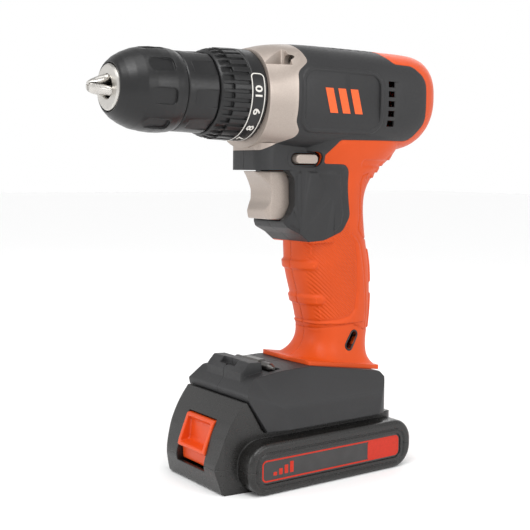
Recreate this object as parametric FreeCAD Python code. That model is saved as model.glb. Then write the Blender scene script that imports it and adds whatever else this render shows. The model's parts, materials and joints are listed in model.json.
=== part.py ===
import FreeCAD, Part
import math
import os

V = FreeCAD.Vector

# Frame: X forward along the chuck, Y to the drill's left, Z up. Lengths are in millimetres.
AXIS_Z = 197.0            # height of the chuck and motor axis above the table
SEAM = 0.08               # half of the joint line between left and right mouldings
WALL = 2.6                # housing wall thickness
SKIN = 1.3                # thickness of the charcoal cover lying in the housing wall
COVER_FRONT = 17.0        # front rim of the gearbox cover
BODY_REAR = -102.5        # rear end of the housing
HANDLE_WIDTH = 34.0       # grip width
FOOT_TOP = 58.4           # foot height at the front edge of the handle flange
FOOT_SLOPE = 0.15         # fall of the foot top towards the rear
SPLIT_Z = 29.7            # parting height between drill foot and battery
POD_HEIGHT = 26.0
BATTERY_WIDTH = 75.0
CASE_SPLIT_Z = 13.0       # parting height between the two battery mouldings
JAW_ANGLE = 15.0
JAW_RADIUS = 2.3
JAW_LENGTH = 30.0
JAW_TIP_X = 102.5
MODULE = 0.7              # gear module
SUN_TEETH = 12
PLANET_TEETH = 18
RING_TEETH = 48
PLANETS = 3
SHAFT_RADIUS = 2.5
SPINDLE_RADIUS = 6.0
RUNNING_FIT = 0.05
CELL_RADIUS = 9.15
CELL_LENGTH = 65.0
CELLS = 5
HOLLOW_CURVE_START = -80.0   # where the rear end starts to close
HOLLOW_CURVE_RATE = 0.16     # how much sooner the hollow closes than the outside
JAW_TIP_OFFSET = 1.2      # jaw centre line from the chuck axis at the tip
GRIP_PADS = 8             # pads round each chuck sleeve
GRIP_PHASE = -12.0
COLLAR_RIBS = 32
GEARBOX_RADIUS = 22.0
RING_OUTER = 20.0
PIN_RADIUS = 1.5
TOOTH_FILL = 0.40         # share of the pitch taken by a tooth, the rest being backlash
SELECTOR_HALF = 18.6      # half length of the direction selector bar
TOWER_HALF = 21.5         # half width of the battery tower inside the foot
TOWER_REAR = -39.0        # rear face of the tower, just ahead of the terminal block
BLADE_PLACES = (-8.0, -3.0, 3.0, 8.0)
BIT_RADIUS = 3.67         # across the corners of a 6.35 mm hexagon
BIT_X = 8.6
BIT_Z = 58.4
POCKET_BACK_X = 4.0       # back wall of the notch for the gearbox cover's screws
POCKET_SCREW_Y = 20.6
POCKET_SCREW_Z = 214.0
POCKET_HEAD_RADIUS = 2.6
SCREW_RADIUS = 1.9
SCREW_HEAD_RADIUS = 3.4


def box(x0, x1, y0, y1, z0, z1):
    return Part.makeBox(x1 - x0, y1 - y0, z1 - z0, V(x0, y0, z0))


def rod_x(radius, x0, x1, y=0.0, z=AXIS_Z):
    return Part.makeCylinder(radius, x1 - x0, V(x0, y, z), V(1, 0, 0))


def rod_y(radius, y0, y1, x, z):
    return Part.makeCylinder(radius, y1 - y0, V(x, y0, z), V(0, 1, 0))


def rod_z(radius, z0, z1, x, y):
    return Part.makeCylinder(radius, z1 - z0, V(x, y, z0), V(0, 0, 1))


def tube_x(outer, inner, x0, x1, y=0.0, z=AXIS_Z):
    return rod_x(outer, x0, x1, y, z).cut(rod_x(inner, x0 - 1, x1 + 1, y, z))


def turned(profile):
    """Solid of revolution about the chuck axis from (x, radius) corners."""
    corners = [V(x, 0, AXIS_Z + radius) for x, radius in profile]
    face = Part.Face(Part.makePolygon(corners + corners[:1]))
    return face.revolve(V(0, 0, AXIS_Z), V(1, 0, 0), 360)


def rounded_wire(corners, place):
    """Closed outline of (a, b, corner radius) with an arc at each rounded corner."""
    edges = []
    ends = []
    count = len(corners)
    for i in range(count):
        a, b, radius = corners[i]
        here = V(a, b, 0)
        back = V(corners[i - 1][0], corners[i - 1][1], 0).sub(here)
        ahead = V(corners[(i + 1) % count][0], corners[(i + 1) % count][1], 0).sub(here)
        back.normalize()
        ahead.normalize()
        half = back.getAngle(ahead) / 2
        if radius <= 0 or abs(half - math.pi / 2) < 0.01:
            ends.append((here, here, None))
            continue
        reach = radius / math.tan(half)
        middle = back.add(ahead)
        middle.normalize()
        centre = here.add(middle.multiply(radius / math.sin(half)))
        toward = here.sub(centre)
        toward.normalize()
        crown = centre.add(toward.multiply(radius))
        ends.append((here.add(back.multiply(reach)), here.add(ahead.multiply(reach)), crown))
    for i in range(count):
        first, last, crown = ends[i]
        following = ends[(i + 1) % count][0]
        if crown is not None:
            edges.append(Part.Arc(place(first), place(crown), place(last)).toShape())
        if last.distanceToPoint(following) > 1e-6:
            edges.append(Part.makeLine(place(last), place(following)))
    return Part.Wire(edges)


def slab_y(corners, y0, y1):
    wire = rounded_wire(corners, lambda p: V(p.x, y0, p.y))
    return Part.Face(wire).extrude(V(0, y1 - y0, 0))


def slab_x(corners, x0, x1):
    wire = rounded_wire(corners, lambda p: V(x0, p.x, p.y))
    return Part.Face(wire).extrude(V(x1 - x0, 0, 0))


def slab_z(corners, z0, z1):
    wire = rounded_wire(corners, lambda p: V(p.x, p.y, z0))
    return Part.Face(wire).extrude(V(0, 0, z1 - z0))


def rounded_box_y(x0, x1, z0, z1, y0, y1, radius):
    corners = [(x0, z0, radius), (x1, z0, radius), (x1, z1, radius), (x0, z1, radius)]
    return slab_y(corners, y0, y1)


def fuse(shapes):
    result = shapes[0]
    for shape in shapes[1:]:
        result = result.fuse(shape)
    return result.removeSplitter()


def mirror_y(shape):
    return shape.mirror(V(0, 0, 0), V(0, 1, 0))


def both_sides(shape):
    return [shape, mirror_y(shape)]


def turn_about_axis(shape, degrees):
    copy = shape.copy()
    copy.rotate(V(0, 0, AXIS_Z), V(1, 0, 0), degrees)
    return copy


def around_axis(shape, count, first=0.0):
    return [turn_about_axis(shape, first + 360.0 * i / count) for i in range(count)]


def soften(shape, radius, wanted):
    """Fillet the edges that the test picks."""
    edges = [edge for edge in shape.Edges if wanted(edge)]
    return shape.makeFillet(radius, edges) if edges else shape


def left_half(shape):
    return shape.common(box(-200, 200, SEAM, 100, -50, 300))


# ---------------------------------------------------------------- housing surfaces

def oval_section(front, rear, half_width, power, inset=0.0):
    """Closed smooth section through two points in the middle plane, squarer for a higher power."""
    centre = front.add(rear).multiply(0.5)
    reach = front.sub(centre)
    length = reach.Length
    reach.normalize()
    points = []
    steps = 28
    for i in range(steps):
        angle = 2 * math.pi * i / steps
        c = math.cos(angle)
        s = math.sin(angle)
        along = math.copysign(abs(c) ** (2 / power), c) * (length - inset)
        across = math.copysign(abs(s) ** (2 / power), s) * (half_width - inset)
        points.append(centre.add(V(reach).multiply(along)).add(V(0, across, 0)))
    curve = Part.BSplineCurve()
    curve.interpolate(Points=points, PeriodicFlag=True)
    return Part.Wire([curve.toShape()])


# x, top height, bottom height, half width, section power
BODY_STATIONS = [
    (COVER_FRONT, 220.4, 170.6, 24.4, 2.2),
    (8.0, 222.6, 169.9, 26.6, 2.4),
    (-5.0, 223.9, 169.6, 28.9, 2.7),
    (-24.0, 224.2, 169.6, 30.0, 2.9),
    (-50.0, 224.2, 169.8, 30.2, 3.0),
    (-72.0, 224.2, 170.4, 29.8, 2.9),
    (-84.0, 224.0, 172.2, 28.4, 2.8),
    (-92.0, 222.8, 176.2, 25.6, 2.6),
    (-98.0, 219.6, 182.0, 20.6, 2.4),
    (-101.4, 214.6, 188.6, 13.6, 2.3),
    (BODY_REAR, 209.0, 194.0, 8.0, 2.2),
]

# front x, front z, rear x, rear z, half width, section power
HANDLE_STATIONS = [
    (-14.2, 60.2, -64.4, 53.0, 20.2, 3.8),
    (-20.6, 63.6, -62.2, 57.2, 17.9, 3.0),
    (-24.2, 69.5, -61.6, 64.0, 16.9, 2.7),
    (-24.1, 77.0, -63.0, 74.0, 16.7, 2.6),
    (-21.4, 88.0, -64.3, 86.5, 17.0, 2.6),
    (-17.8, 99.5, -64.4, 98.5, 17.2, 2.6),
    (-15.6, 109.0, -63.5, 109.5, 17.4, 2.6),
    (-15.0, 119.0, -61.2, 120.0, 17.3, 2.6),
    (-14.0, 131.0, -59.4, 131.5, 17.3, 2.6),
    (-13.0, 143.0, -58.8, 143.0, 17.6, 2.6),
    (-12.0, 153.0, -61.0, 152.0, 18.8, 2.6),
    (-10.0, 161.5, -67.4, 160.0, 21.0, 2.6),
    (-8.0, 170.0, -77.0, 168.5, 24.4, 2.6),
    (-8.0, 180.0, -84.0, 179.0, 26.0, 2.6),
]


def body_surface(inset):
    """Motor housing surface, or the surface of its hollow at a given depth below it."""
    reach = inset / WALL
    sections = []
    for x, top, bottom, half_width, power in BODY_STATIONS:
        depth = max(0.0, HOLLOW_CURVE_START - x)
        place = x + reach * depth * HOLLOW_CURVE_RATE
        sections.append(oval_section(V(place, 0, top), V(place, 0, bottom), half_width, power, inset))
    return Part.makeLoft(sections, True, False)


def handle_surface(inset):
    sections = []
    for xf, zf, xr, zr, half_width, power in HANDLE_STATIONS:
        sections.append(oval_section(V(xf, 0, zf), V(xr, 0, zr), half_width, power, inset))
    return Part.makeLoft(sections, True, False)


def flange_block():
    """Flared foot of the grip, lying on the sloping top of the foot."""
    thickness = 2.4
    front = -10.4
    rear = -64.5
    side = slab_y([(front, foot_top(front), 0), (front, foot_top(front) + thickness, 1.2),
                   (rear, foot_top(rear) + thickness, 1.2), (rear, foot_top(rear), 0)], -25, 25)
    plan = slab_z([(-11.8, -20.9, 1.5), (-10.4, 0, 20), (-11.8, 20.9, 1.5),
                   (-61.4, 20.6, 1.5), (rear, 0, 30), (-61.4, -20.6, 1.5)], 30, 90)
    return side.common(plan)


def foot_top(x):
    return FOOT_TOP + FOOT_SLOPE * (x + 11.6)


def trigger_section(inset):
    """Block above and behind the trigger: a roof over it and cheeks beside it."""
    roof_half = 15.6 - inset
    roof = slab_z([(-30, -roof_half, 0), (15.8 - inset, -roof_half, 8 - inset),
                   (15.8 - inset, roof_half, 8 - inset), (-30, roof_half, 0)],
                  159.4 + inset, 173.0)
    cheek_half = HANDLE_WIDTH / 2 + 0.5 - inset
    side = slab_y([(-30, 164, 0), (-1.6, 164, 0), (-1.6, 159.8 - inset, 3), (-5.4 - inset, 154.5, 6),
                   (-5.6 - inset, 141.5, 6), (-3.0 - inset, 136.4, 4), (0.6 - inset, 133.2, 1.5),
                   (-2.2 - inset, 129.8 + inset, 3), (-9.0, 126.6 + inset, 5),
                   (-15.6, 121.6 + inset, 4), (-30, 121.6 + inset, 0)], -40, 40)
    plan = slab_z([(-31, -cheek_half, 0), (1.8 - inset, -cheek_half + 2.5, 7),
                   (1.8 - inset, cheek_half - 2.5, 7), (-31, cheek_half, 0)], 118, 170)
    return roof.fuse(side.common(plan))


# Edge between the gearbox cover and the side covers, from the top down
COVER_EDGE = [
    (-3.4, 240, 0), (-3.4, 221.5, 1), (-4.8, 213.5, 3), (2.0, 208.0, 5), (2.3, 183.5, 5),
    (-2.2, 177.0, 3), (14.5, 169.4, 0),
]

# Outline, in the side view, of the charcoal cover on each side of the housing
SIDE_COVER_OUTLINE = COVER_EDGE + [
    (40, 169.4, 0), (40, 115, 0), (-12.0, 115, 0),
    (-13.0, 122.3, 2), (-23.5, 122.9, 8), (-36.2, 127.4, 7), (-41.4, 135.5, 6),
    (-38.6, 150.0, 10), (-36.6, 162.8, 6), (-21.4, 163.0, 1.5), (-21.0, 167.5, 1),
    (-28.0, 175.3, 3), (-76.5, 175.9, 8), (-85.0, 186.0, 8), (-84.9, 209.5, 9),
    (-76.0, 215.8, 8), (-63.0, 216.0, 4), (-57.6, 221.0, 3), (-57.6, 240, 0),
]


def side_vents():
    """Column of exhaust slots with a shallow ramp behind it."""
    first_z = 183.0
    pitch = 5.1
    height = 3.1
    slots = [box(-60.6, -55.6, 20, 40, first_z + pitch * i, first_z + pitch * i + height)
             for i in range(5)]
    ramp = slab_z([(-60.6, 40, 0), (-60.6, 29.0, 0), (-70.5, 31.2, 0), (-70.5, 40, 0)], 183.0, 206.5)
    return slots, ramp


def vent_window():
    """Opening in the shell behind the exhaust slots, wider than the slots in the cover."""
    return box(-62.4, -53.8, 20, 40, 181.4, 208.2)


def top_vents():
    """Row of short slots along the shoulder of the housing."""
    return [box(-31.0 - 5.4 * i, -27.4 - 5.4 * i, 14.0, 17.0, 200, 240) for i in range(6)]


# x and z of the screws that join the housing halves
SCREW_PLACES = [(-22.0, 171.6), (-84.0, 218.2), (-64.0, 218.8), (-50.0, 140.0),
                (-46.0, 104.0), (-34.0, 72.0)]


def badge_recess():
    return rounded_box_y(-50.0, -2.0, 180.8, 208.8, 29.15, 40, 6.0)


def screw_pocket():
    """Notch in the shoulder of the gearbox cover with the counterbore of its screw."""
    floor_z = 211.3
    back_x = POCKET_BACK_X
    notch = slab_z([(back_x, 16.5, 1.5), (back_x, 40, 0), (30, 40, 0), (30, 22.0, 0)], floor_z, 240)
    sink = rod_x(POCKET_HEAD_RADIUS + 0.1, back_x - 5.5, back_x + 1, POCKET_SCREW_Y, POCKET_SCREW_Z)
    return notch.fuse(sink)


def housing_solids():
    """Left orange shell, left charcoal cover and the one-piece gearbox cover."""
    block = trigger_section(0)
    outer = body_surface(0).fuse([handle_surface(0), block, flange_block()])
    gearbox_bore = rod_x(GEARBOX_RADIUS + 0.3, -60, 60)
    inner = body_surface(WALL).fuse([handle_surface(WALL), trigger_section(WALL)])
    inner = inner.fuse([trigger_opening(), rod_x(GEARBOX_RADIUS + 0.3, -20, 60), wire_mouth()])
    cover_zone = slab_y(COVER_EDGE + [(40, 169.4, 0), (40, 240, 0)], -60, 60)
    front_cover = outer.common(cover_zone).cut(gearbox_bore)
    left = left_half(outer)
    rest = left.cut([cover_zone, inner])
    middle = body_surface(SKIN).fuse([handle_surface(SKIN), trigger_section(SKIN)])
    dark_zone = slab_y(SIDE_COVER_OUTLINE, 0, 60)
    thick = rest.common(dark_zone).common(box(-9.4, 40, 0, 60, 110, 161.0))
    skin = rest.common(dark_zone).cut(middle).fuse(thick)
    floor = selector_floor()
    skin = skin.cut(selector_pocket()).fuse(floor)
    return rest.cut([skin, selector_pocket()]), skin, front_cover


def trigger_opening():
    """Pocket that the trigger slides in, open to the front."""
    half = 10.3
    return slab_y([(-30, 133.4, 0), (8, 133.4, 0), (8, 159.2, 0), (-30, 159.2, 0)], -half, half)


def selector_slot():
    return rounded_box_y(-19.4, -2.8, 162.4, 168.2, 5, 40, 2.8)


def selector_pocket():
    return rounded_box_y(-20.2, -0.6, 161.2, 169.2, 15.7, 40, 3.4)


def selector_floor():
    """Charcoal floor of the selector pocket, with the slot that the bar passes through."""
    return rounded_box_y(-20.2, -0.6, 161.2, 169.2, 14.5, 15.7, 3.4).cut(selector_slot())


def selector_window():
    """Wider opening in the shell behind the floor of the selector pocket."""
    return rounded_box_y(-21.2, 0.4, 160.2, 170.2, 5, 14.5, 4.0)


def wire_mouth():
    """Passage for the supply wires between the grip and the foot."""
    return box(-50.0, -32.0, -9.0, 9.0, 46.0, 70.0)


def grip_slot():
    """Small slanted opening low on the grip."""
    slot = rounded_box_y(-5.2, 5.2, -1.9, 1.9, 5, 40, 1.8)
    slot.rotate(V(0, 0, 0), V(0, 1, 0), 57)
    slot.translate(V(-44.2, 0, 68.2))
    return slot


def make_housing():
    shell, skin, front_cover = housing_solids()
    slots, ramp = side_vents()
    openings = slots + top_vents() + [selector_slot()]
    shell = shell.cut(openings + [grip_slot(), vent_window(), selector_window()])
    skin = skin.cut(openings + [ramp, badge_recess()])
    save("left_housing_shell", shell)
    save("right_housing_shell", mirror_y(shell).cut(screw_holes()))
    save("left_side_cover", skin)
    save("right_side_cover", mirror_y(skin).cut(screw_holes()))
    front_cover = front_cover.cut(both_sides(screw_pocket()))
    save("gearbox_cover", front_cover)


def screw_holes():
    """Counterbores for the housing screws, which are driven from the right side."""
    return [rod_y(SCREW_HEAD_RADIUS + 0.2, -60, -9.0, x, z) for x, z in SCREW_PLACES]


def make_screws():
    """Cross-headed screws: one row joins the housing halves, two hold the gearbox cover."""
    screws = []
    for x, z in SCREW_PLACES:
        head = rod_y(SCREW_HEAD_RADIUS, -13.0, -10.0, x, z)
        slot = box(x - 0.5, x + 0.5, -14, -11.6, z - 2.2, z + 2.2)
        cross = box(x - 2.2, x + 2.2, -14, -11.6, z - 0.5, z + 0.5)
        screws.append(head.cut([slot, cross]).fuse(rod_y(SCREW_RADIUS, -10.0, 8.0, x, z)))
    for side in (-1, 1):
        y = side * POCKET_SCREW_Y
        z = POCKET_SCREW_Z
        top = POCKET_BACK_X - 2.4
        head = rod_x(POCKET_HEAD_RADIUS, top - 3.0, top, y, z)
        slot = box(top - 1.6, top + 1, y - 1.8, y + 1.8, z - 0.45, z + 0.45)
        cross = box(top - 1.6, top + 1, y - 0.45, y + 0.45, z - 1.8, z + 1.8)
        screws.append(head.cut([slot, cross]))
    save("housing_screws", Part.makeCompound(screws))


# ---------------------------------------------------------------- chuck

def jaw_axis_offset(x):
    """Distance of a jaw's centre line from the chuck axis at x."""
    return JAW_TIP_OFFSET + (JAW_TIP_X - x) * math.tan(math.radians(JAW_ANGLE))


def jaw_rod(radius, start_x, end_x):
    slope = math.radians(JAW_ANGLE)
    start = V(start_x, 0, AXIS_Z + jaw_axis_offset(start_x))
    length = (start_x - end_x) / math.cos(slope)
    return Part.makeCylinder(radius, length, start, V(-math.cos(slope), 0, math.sin(slope)))


def make_jaws():
    back_x = JAW_TIP_X - JAW_LENGTH * math.cos(math.radians(JAW_ANGLE))
    rod = jaw_rod(JAW_RADIUS, JAW_TIP_X + 4, back_x)
    gap = 0.18
    wedge = slab_x([(0, AXIS_Z + 2 * gap, 0), (20, AXIS_Z + 2 * gap + 20 * math.tan(math.pi / 6), 0),
                    (20, AXIS_Z + 40, 0), (-20, AXIS_Z + 40, 0),
                    (-20, AXIS_Z + 2 * gap + 20 * math.tan(math.pi / 6), 0)], 40, 120)
    nose = turned([(0, 0), (JAW_TIP_X - 3.0, 0), (JAW_TIP_X, 0), (JAW_TIP_X, 2.3),
                   (JAW_TIP_X - 1.4, 3.2), (JAW_TIP_X - 12, 8), (0, 30)])
    jaw = rod.common(wedge).common(nose)
    for number, piece in enumerate(around_axis(jaw, 3), 1):
        save("chuck_jaw_%d" % number, piece)


def make_chuck():
    body = turned([(44.0, 6.0), (57.0, 6.0), (57.0, 2.6), (59.0, 2.6), (59.0, 5.2), (92.4, 5.2),
                   (93.1, 5.8), (93.1, 10.2), (92.5, 10.8), (88.0, 12.2), (82.0, 14.2),
                   (73.4, 14.6), (73.4, 12.9), (66.4, 12.9), (66.4, 16.2), (44.0, 16.2)])
    bores = around_axis(jaw_rod(JAW_RADIUS + 0.2, JAW_TIP_X, 45.0), 3)
    body = body.cut(bores)
    save("chuck_body", body)
    sleeve = turned([(60.2, 16.6), (66.6, 16.6), (66.6, 16.0), (73.6, 16.0), (73.6, 15.0),
                     (82.0, 14.6), (88.0, 12.65), (92.0, 11.35), (92.2, 11.9), (91.4, 12.9),
                     (89.0, 15.0), (85.5, 17.0), (81.0, 18.8), (76.5, 19.8), (71.5, 20.3),
                     (66.5, 20.3), (62.5, 19.9), (60.2, 19.4)])
    sleeve = soften(sleeve, 0.5, lambda edge: abs(edge.BoundBox.XMin - 60.2) < 0.01
                    and edge.BoundBox.YLength > 38)
    recess = sleeve_recess(66.4, 82.6, 7.6, 19.1, 2.4)
    sleeve = sleeve.cut(around_axis(recess, GRIP_PADS, GRIP_PHASE))
    save("chuck_front_sleeve", sleeve)
    rear = turned([(43.1, 16.2), (59.8, 16.2), (59.8, 18.9), (59.2, 19.3), (52.0, 19.5),
                   (43.7, 19.9), (43.1, 19.5)])
    pad = sleeve_recess(40.0, 56.0, 8.2, 19.05, 1.2)
    rear = rear.cut(around_axis(pad, GRIP_PADS, GRIP_PHASE))
    save("chuck_rear_sleeve", rear)
    nut = turned([(66.9, 13.6), (72.9, 13.6), (72.9, 16.0), (66.9, 16.0)])
    save("chuck_nut", nut)
    save("chuck_screw", rod_x(4.6, 59.0, 62.0).cut(rod_x(1.6, 60.4, 63)).fuse(rod_x(2.5, 48.0, 59.0)))


def sleeve_recess(x0, x1, width, floor_radius, corner):
    return slab_z([(x0, -width / 2, corner), (x1, -width / 2, corner),
                   (x1, width / 2, corner), (x0, width / 2, corner)],
                  AXIS_Z + floor_radius, AXIS_Z + 30)


# ---------------------------------------------------------------- clutch and gearbox

def make_torque_collar():
    shell = turned([(17.4, 18.6), (40.6, 18.6), (40.6, 13.6), (42.7, 13.6), (42.7, 20.3),
                    (41.6, 21.2), (37.0, 22.5), (26.4, 22.9), (26.0, 22.5), (25.6, 22.9),
                    (17.9, 22.9), (17.4, 22.5)])
    groove = box(27.2, 50.0, -0.95, 0.95, AXIS_Z + 21.9, AXIS_Z + 30)
    step = box(36.2, 50.0, -1.4, 1.4, AXIS_Z + 20.9, AXIS_Z + 30)
    cutters = around_axis(groove, COLLAR_RIBS) + around_axis(step, COLLAR_RIBS, 180.0 / COLLAR_RIBS)
    save("torque_collar", shell.cut(cutters))


def gear_outline(teeth, root, tip, root_half, tip_half, phase):
    """Closed toothed wire about the axis; half widths are tooth half angles in degrees."""
    points = []
    for i in range(teeth):
        centre = phase + 360.0 * i / teeth
        for radius, offset in ((root, -root_half), (tip, -tip_half), (tip, tip_half), (root, root_half)):
            angle = math.radians(centre + offset)
            points.append(V(0, radius * math.sin(angle), radius * math.cos(angle)))
    return Part.makePolygon(points + points[:1])


def gear(teeth, x0, x1, phase, bore):
    pitch = MODULE * teeth / 2
    tooth = math.degrees(TOOTH_FILL * math.pi * MODULE / 2 / pitch)
    root = pitch - 1.15 * MODULE
    tip = pitch + 0.8 * MODULE
    face = Part.Face(gear_outline(teeth, root, tip, tooth * 1.35, tooth * 0.55, phase))
    solid = face.extrude(V(x1 - x0, 0, 0))
    solid.translate(V(x0, 0, AXIS_Z))
    return solid.cut(rod_x(bore, x0 - 1, x1 + 1)) if bore > 0 else solid


def ring_gear(x0, x1):
    pitch = MODULE * RING_TEETH / 2
    gap = math.degrees((1 - TOOTH_FILL) * math.pi * MODULE / 2 / pitch)
    opening = Part.Face(gear_outline(RING_TEETH, pitch - 0.8 * MODULE, pitch + 1.15 * MODULE,
                                     gap * 1.15, gap * 0.8, 180.0 / RING_TEETH))
    hollow = opening.extrude(V(x1 - x0 + 2, 0, 0))
    hollow.translate(V(x0 - 1, 0, AXIS_Z))
    return rod_x(RING_OUTER, x0, x1).cut(hollow)


def place_planet(shape, number):
    moved = shape.copy()
    moved.translate(V(0, 0, MODULE * (SUN_TEETH + PLANET_TEETH) / 2))
    return turn_about_axis(moved, 360.0 * number / PLANETS)


def make_stage(name, x0, x1):
    """Ring and planets; each planet has a tooth gap facing the sun and the ring tooth outside it."""
    save(name + "_ring_gear", ring_gear(x0 - 0.5, x1 + 0.5))
    planet = gear(PLANET_TEETH, x0, x1, 180.0 / PLANET_TEETH, PIN_RADIUS + RUNNING_FIT)
    for number in range(PLANETS):
        save("%s_planet_%d" % (name, number + 1), place_planet(planet, number))


def carrier(x0, x1, pin_end):
    """Planet carrier disc with its three pins reaching forward or back to pin_end."""
    disc = rod_x(14.0, x0, x1)
    pin = rod_x(PIN_RADIUS, pin_end, x0)
    return fuse([disc] + [place_planet(pin, i) for i in range(PLANETS)])


def make_gearbox():
    make_stage("first_stage", -31.6, -25.2)
    make_stage("second_stage", -18.6, -11.0)
    sun = gear(SUN_TEETH, -22.0, -11.4, 0.0, 0)
    save("first_carrier", carrier(-24.0, -22.0, -32.0).fuse(sun))
    save("output_carrier", carrier(-9.4, -6.4, -19.0))
    spindle = turned([(-6.4, 0), (57.0, 0), (57.0, SPINDLE_RADIUS), (-2.8, SPINDLE_RADIUS),
                      (-2.8, 9.0), (-6.4, 9.0)])
    spindle = spindle.cut(rod_x(2.5, 47.5, 60))
    save("spindle", spindle)
    save("motor_pinion", gear(SUN_TEETH, -33.0, -25.0, 0.0, SHAFT_RADIUS))
    rear_plate = tube_x(GEARBOX_RADIUS, 6.5, -35.4, -33.4)
    barrel = tube_x(GEARBOX_RADIUS, RING_OUTER, -33.4, -5.0)
    front = tube_x(GEARBOX_RADIUS, 9.5, -5.0, -2.0)
    snout = tube_x(13.0, 9.5, -2.0, 39.8)
    balls = [place_ball(i) for i in range(6)]
    seats = [turn_about_axis(rod_x(1.6, -8.0, 1.0, 0, AXIS_Z + 15.6), 30 + 60 * i) for i in range(6)]
    housing = fuse([rear_plate, barrel, front, snout]).cut(seats)
    save("gearbox_housing", housing)
    washer = tube_x(18.0, 13.3, -0.3, 1.0)
    save("clutch_thrust_set", Part.makeCompound(balls + [washer]))
    save("clutch_spring", coil_spring(V(1.1, 0, AXIS_Z), V(1, 0, 0), 19.9, 15.8, 0.8, 5))
    save("clutch_nut", tube_x(18.2, 13.3, 21.3, 27.0))
    bearing = tube_x(9.5, SPINDLE_RADIUS + RUNNING_FIT, 3.0, 9.0)
    front_bearing = tube_x(9.5, SPINDLE_RADIUS + RUNNING_FIT, 32.0, 39.0)
    save("spindle_bearings", Part.makeCompound([bearing, front_bearing]))


def place_ball(number):
    ball = Part.makeSphere(1.5, V(-1.9, 0, AXIS_Z + 15.6))
    return turn_about_axis(ball, 30 + 60 * number)


def coil_spring(start, direction, length, radius, wire, turns):
    """Compression spring from a start point along a direction, as one helical wire."""
    pitch = (length - 2 * wire) / turns
    helix = Part.makeHelix(pitch, pitch * turns, radius)
    edge = helix.Edges[0]
    circle = Part.Wire([Part.makeCircle(wire, edge.valueAt(edge.FirstParameter),
                                        edge.tangentAt(edge.FirstParameter))])
    spring = Part.Wire(helix.Edges).makePipeShell([circle], True, True)
    spring.translate(V(0, 0, wire))
    spring.Placement = FreeCAD.Placement(start, FreeCAD.Rotation(V(0, 0, 1), direction)).multiply(
        spring.Placement)
    return spring


# ---------------------------------------------------------------- motor

def make_motor():
    can = fuse([tube_x(18.5, 17.2, -86.0, -37.0), tube_x(18.5, 4.6, -37.0, -35.6)])
    windows = [turn_about_axis(box(-62.0, -54.0, -6, 6, AXIS_Z + 15, AXIS_Z + 20), angle)
               for angle in (90, 270)]
    save("motor_can", can.cut(windows))
    magnet = tube_x(17.2, 13.6, -78.0, -46.0).common(box(-79, -45, -30, 30, AXIS_Z + 3, AXIS_Z + 20))
    save("motor_magnets", Part.makeCompound([magnet, turn_about_axis(magnet, 180)]))
    slot = box(-80, -40, -1.0, 1.0, AXIS_Z + 5.0, AXIS_Z + 14)
    core = tube_x(13.0, SHAFT_RADIUS, -76.0, -48.0).cut(around_axis(slot, 5))
    save("armature_core", core)
    front_coil = turned([(-48.0, 4.0), (-44.0, 4.5), (-43.5, 9.0), (-46.0, 11.6), (-48.0, 11.6)])
    rear_coil = turned([(-76.0, 4.0), (-76.0, 11.6), (-78.0, 11.6), (-80.5, 9.0), (-80.0, 4.5)])
    save("armature_windings", Part.makeCompound([front_coil, rear_coil]))
    save("commutator", tube_x(5.6, SHAFT_RADIUS, -89.8, -81.5))
    save("motor_shaft", rod_x(SHAFT_RADIUS, -97.2, -24.6))
    blade = box(-43.0, -38.4, -0.6, 0.6, AXIS_Z + 4.5, AXIS_Z + 16.2)
    hub = tube_x(5.5, SHAFT_RADIUS, -43.0, -38.4)
    save("motor_fan", fuse([hub] + around_axis(blade, 9)))
    bearing = tube_x(4.6, SHAFT_RADIUS + RUNNING_FIT, -38.0, -35.6)
    rear_bearing = tube_x(4.6, SHAFT_RADIUS + RUNNING_FIT, -96.6, -93.0)
    save("motor_bearings", Part.makeCompound([bearing, rear_bearing]))
    cap = fuse([tube_x(16.0, 4.6, -93.0, -90.2), tube_x(18.0, 15.0, -90.2, -86.0),
                tube_x(6.4, 4.6, -97.0, -93.0)])
    save("brush_holder", cap)
    brush = box(-88.6, -84.6, -2.0, 2.0, AXIS_Z + 5.9, AXIS_Z + 14.0)
    save("motor_brushes", Part.makeCompound([brush, turn_about_axis(brush, 180)]))


# ---------------------------------------------------------------- trigger and switch

def make_trigger():
    half = 9.7
    side = slab_y([(-11.5, 134.2, 0), (7.0, 134.2, 2.0), (8.4, 138.6, 2), (4.8, 144.0, 8),
                   (4.8, 151.0, 8), (9.6, 156.0, 4), (13.2, 158.9, 0), (-11.5, 158.9, 0)],
                  -half, half)
    plan = slab_z([(-12, -half - 0.5, 0), (5, -half - 0.5, 6), (14.5, -3.5, 6), (14.5, 3.5, 6),
                   (5, half + 0.5, 6), (-12, half + 0.5, 0)], 130, 160)
    front = side.common(plan)
    stem = rod_x(3.0, -27.0, -11.5, 0, 150.0)
    save("trigger", front.fuse(stem))
    block = box(-38.0, -19.0, -8.6, 8.6, 138.0, 159.0)
    block = block.cut(rod_x(3.0 + 0.4, -35.0, -18.0, 0, 150.0))
    save("trigger_switch", block)
    save("trigger_spring", trigger_spring())
    bar = rounded_box_y(-18.2, -4.0, 162.9, 167.7, -SELECTOR_HALF, SELECTOR_HALF, 2.3)
    save("direction_selector", soften(bar, 0.7, lambda edge: edge.BoundBox.YLength < 0.01))


def trigger_spring():
    """Return spring round the trigger stem."""
    return coil_spring(V(-18.9, 0, 150.0), V(1, 0, 0), 7.3, 4.4, 0.4, 4)


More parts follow.
